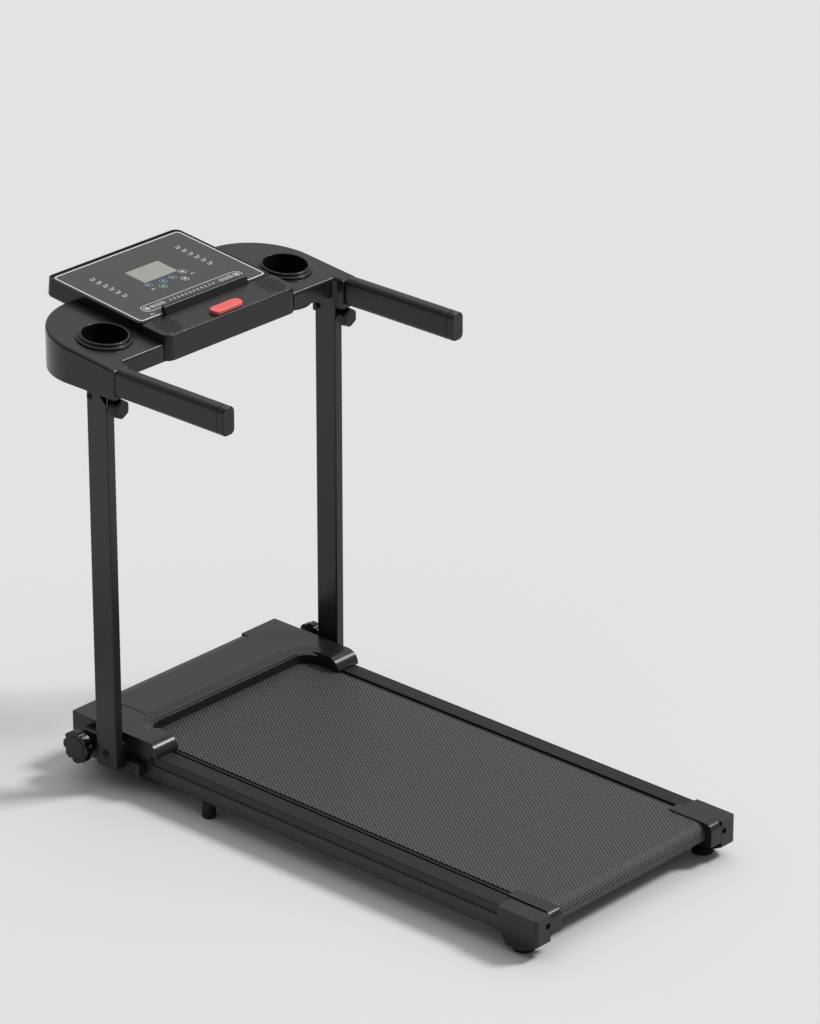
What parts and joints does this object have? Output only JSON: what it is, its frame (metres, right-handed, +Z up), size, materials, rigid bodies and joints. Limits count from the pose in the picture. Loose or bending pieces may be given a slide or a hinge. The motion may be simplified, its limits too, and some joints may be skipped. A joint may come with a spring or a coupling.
{
  "type": "treadmill",
  "caption": "Compact folding home treadmill: low belt deck, two side uprights and a level console with handle bars, cup holders and a sloping display.",
  "frame": {"origin": "on the floor, under the middle of the machine's box", "axes": "+Z up, +Y the way the walker faces, from the belt's rear end to the console; +X to the walker's right"},
  "size_m": [0.705, 1.404, 0.9806],
  "materials": {
    "powder_steel": "satin powder coat",
    "bright_steel": "zinc plated",
    "black_abs": "fine textured moulding",
    "ribbed_pvc": "ribbed",
    "belt_pvc": "diamond weave",
    "rubber": "matt",
    "grip_foam": "matt",
    "board_mdf": "waxed board",
    "panel_gloss": "satin film",
    "display_glass": "polished",
    "key_red": "semi gloss",
    "circuit_green": "solder mask"
  },
  "bodies": {
    "deck_frame": {"frame_rail_left": "powder_steel", "frame_rail_right": "powder_steel", "rear_crossbar": "powder_steel", "middle_crossbar": "powder_steel", "front_crossbar": "powder_steel", "running_deck": "board_mdf", "running_belt": "belt_pvc", "foot_rail_left": "ribbed_pvc", "foot_rail_right": "ribbed_pvc", "rear_axle": "bright_steel", "front_axle": "bright_steel", "end_cap_left": "black_abs", "end_cap_right": "black_abs", "front_foot_left": "rubber", "front_foot_right": "rubber", "motor_hood": "black_abs", "bottom_pan": "black_abs", "drive_motor": "powder_steel", "drive_belt": "rubber", "control_board": "circuit_green", "power_inlet": "black_abs", "pivot_bolt_left": "bright_steel", "pivot_bolt_right": "bright_steel"},
    "uprights": {"upright_left": "powder_steel", "upright_right": "powder_steel", "console_bolt_left": "bright_steel", "console_bolt_right": "bright_steel"},
    "console": {"console_bracket_left": "powder_steel", "console_bracket_right": "powder_steel", "handlebar_frame": "powder_steel", "grip_left": "grip_foam", "grip_right": "grip_foam", "grip_cap_left": "black_abs", "grip_cap_right": "black_abs", "arm_casing_left": "black_abs", "arm_casing_right": "black_abs", "cup_holder_left": "black_abs", "cup_holder_right": "black_abs", "console_base": "black_abs", "console_head": "black_abs", "display_panel": "panel_gloss", "lcd_window": "display_glass", "tablet_ledge": "black_abs", "console_circuit_board": "circuit_green"},
    "console_knob_left": {"console_knob_left": "black_abs"},
    "console_knob_right": {"console_knob_right": "black_abs"},
    "lock_knob_left": {"lock_knob_left": "black_abs"},
    "lock_knob_right": {"lock_knob_right": "black_abs"},
    "safety_key": {"safety_key": "key_red"},
    "front_roller": {"front_roller": "bright_steel", "front_pulley": "black_abs"},
    "rear_roller": {"rear_roller": "bright_steel"},
    "motor_pulley": {"motor_pulley": "bright_steel"},
    "levelling_foot_left": {"levelling_foot_left": "rubber"},
    "levelling_foot_right": {"levelling_foot_right": "rubber"},
    "tension_bolt_left": {"tension_bolt_left": "bright_steel"},
    "tension_bolt_right": {"tension_bolt_right": "bright_steel"},
    "transport_wheel_left": {"transport_wheel_left": "black_abs"},
    "transport_wheel_right": {"transport_wheel_right": "black_abs"},
    "power_switch": {"power_switch": "key_red"}
  },
  "joints": [
    {"name": "upright_fold", "type": "hinge", "parent": "deck_frame", "child": "uprights", "pos_m": [0, 0.40704, 0.0775], "axis": [1, 0, 0], "range_deg": [0, 90]},
    {"name": "console_fold", "type": "hinge", "parent": "uprights", "child": "console", "pos_m": [0, 0.42454, 0.847], "axis": [1, 0, 0], "range_deg": [-90, 0]},
    {"name": "console_knob_left_turn", "type": "hinge", "parent": "uprights", "child": "console_knob_left", "pos_m": [-0.323, 0.35354, 0.838], "axis": [0, -1, 0], "range_deg": [0, 360]},
    {"name": "console_knob_right_turn", "type": "hinge", "parent": "uprights", "child": "console_knob_right", "pos_m": [0.323, 0.35354, 0.838], "axis": [0, -1, 0], "range_deg": [0, 360]},
    {"name": "lock_knob_left_turn", "type": "hinge", "parent": "deck_frame", "child": "lock_knob_left", "pos_m": [-0.335, 0.47604, 0.074], "axis": [-1, 0, 0], "range_deg": [0, 360]},
    {"name": "lock_knob_right_turn", "type": "hinge", "parent": "deck_frame", "child": "lock_knob_right", "pos_m": [0.335, 0.47604, 0.074], "axis": [1, 0, 0], "range_deg": [0, 360]},
    {"name": "safety_key_pull", "type": "slide", "parent": "console", "child": "safety_key", "axis": [0, -0.1084, 0.9941], "range_m": [0, 0.03]},
    {"name": "front_roller_spin", "type": "hinge", "parent": "deck_frame", "child": "front_roller", "pos_m": [0, 0.42004, 0.065], "axis": [1, 0, 0], "continuous": true},
    {"name": "rear_roller_spin", "type": "hinge", "parent": "deck_frame", "child": "rear_roller", "pos_m": [0, -0.66396, 0.065], "axis": [1, 0, 0], "continuous": true},
    {"name": "motor_pulley_spin", "type": "hinge", "parent": "deck_frame", "child": "motor_pulley", "pos_m": [0.253, 0.49754, 0.0785], "axis": [1, 0, 0], "continuous": true},
    {"name": "levelling_foot_left_turn", "type": "hinge", "parent": "deck_frame", "child": "levelling_foot_left", "pos_m": [-0.265, -0.64596, 0.01], "axis": [0, 0, 1], "range_deg": [0, 360]},
    {"name": "levelling_foot_right_turn", "type": "hinge", "parent": "deck_frame", "child": "levelling_foot_right", "pos_m": [0.265, -0.64596, 0.01], "axis": [0, 0, 1], "range_deg": [0, 360]},
    {"name": "tension_bolt_left_turn", "type": "hinge", "parent": "deck_frame", "child": "tension_bolt_left", "pos_m": [-0.2615, -0.69346, 0.065], "axis": [0, -1, 0], "range_deg": [-180, 180]},
    {"name": "tension_bolt_right_turn", "type": "hinge", "parent": "deck_frame", "child": "tension_bolt_right", "pos_m": [0.2615, -0.69346, 0.065], "axis": [0, -1, 0], "range_deg": [-180, 180]},
    {"name": "transport_wheel_left_spin", "type": "hinge", "parent": "deck_frame", "child": "transport_wheel_left", "pos_m": [-0.227, 0.48654, 0.0165], "axis": [1, 0, 0], "continuous": true},
    {"name": "transport_wheel_right_spin", "type": "hinge", "parent": "deck_frame", "child": "transport_wheel_right", "pos_m": [0.227, 0.48654, 0.0165], "axis": [1, 0, 0], "continuous": true},
    {"name": "power_switch_rock", "type": "hinge", "parent": "deck_frame", "child": "power_switch", "pos_m": [-0.1645, 0.53104, 0.056], "axis": [1, 0, 0], "range_deg": [0, 12]}
  ],
  "couplings": [
    {"joint": "console_fold", "follows": "upright_fold", "ratio": -1},
    {"joint": "rear_roller_spin", "follows": "front_roller_spin", "ratio": 1},
    {"joint": "motor_pulley_spin", "follows": "front_roller_spin", "ratio": 1.8462}
  ]
}
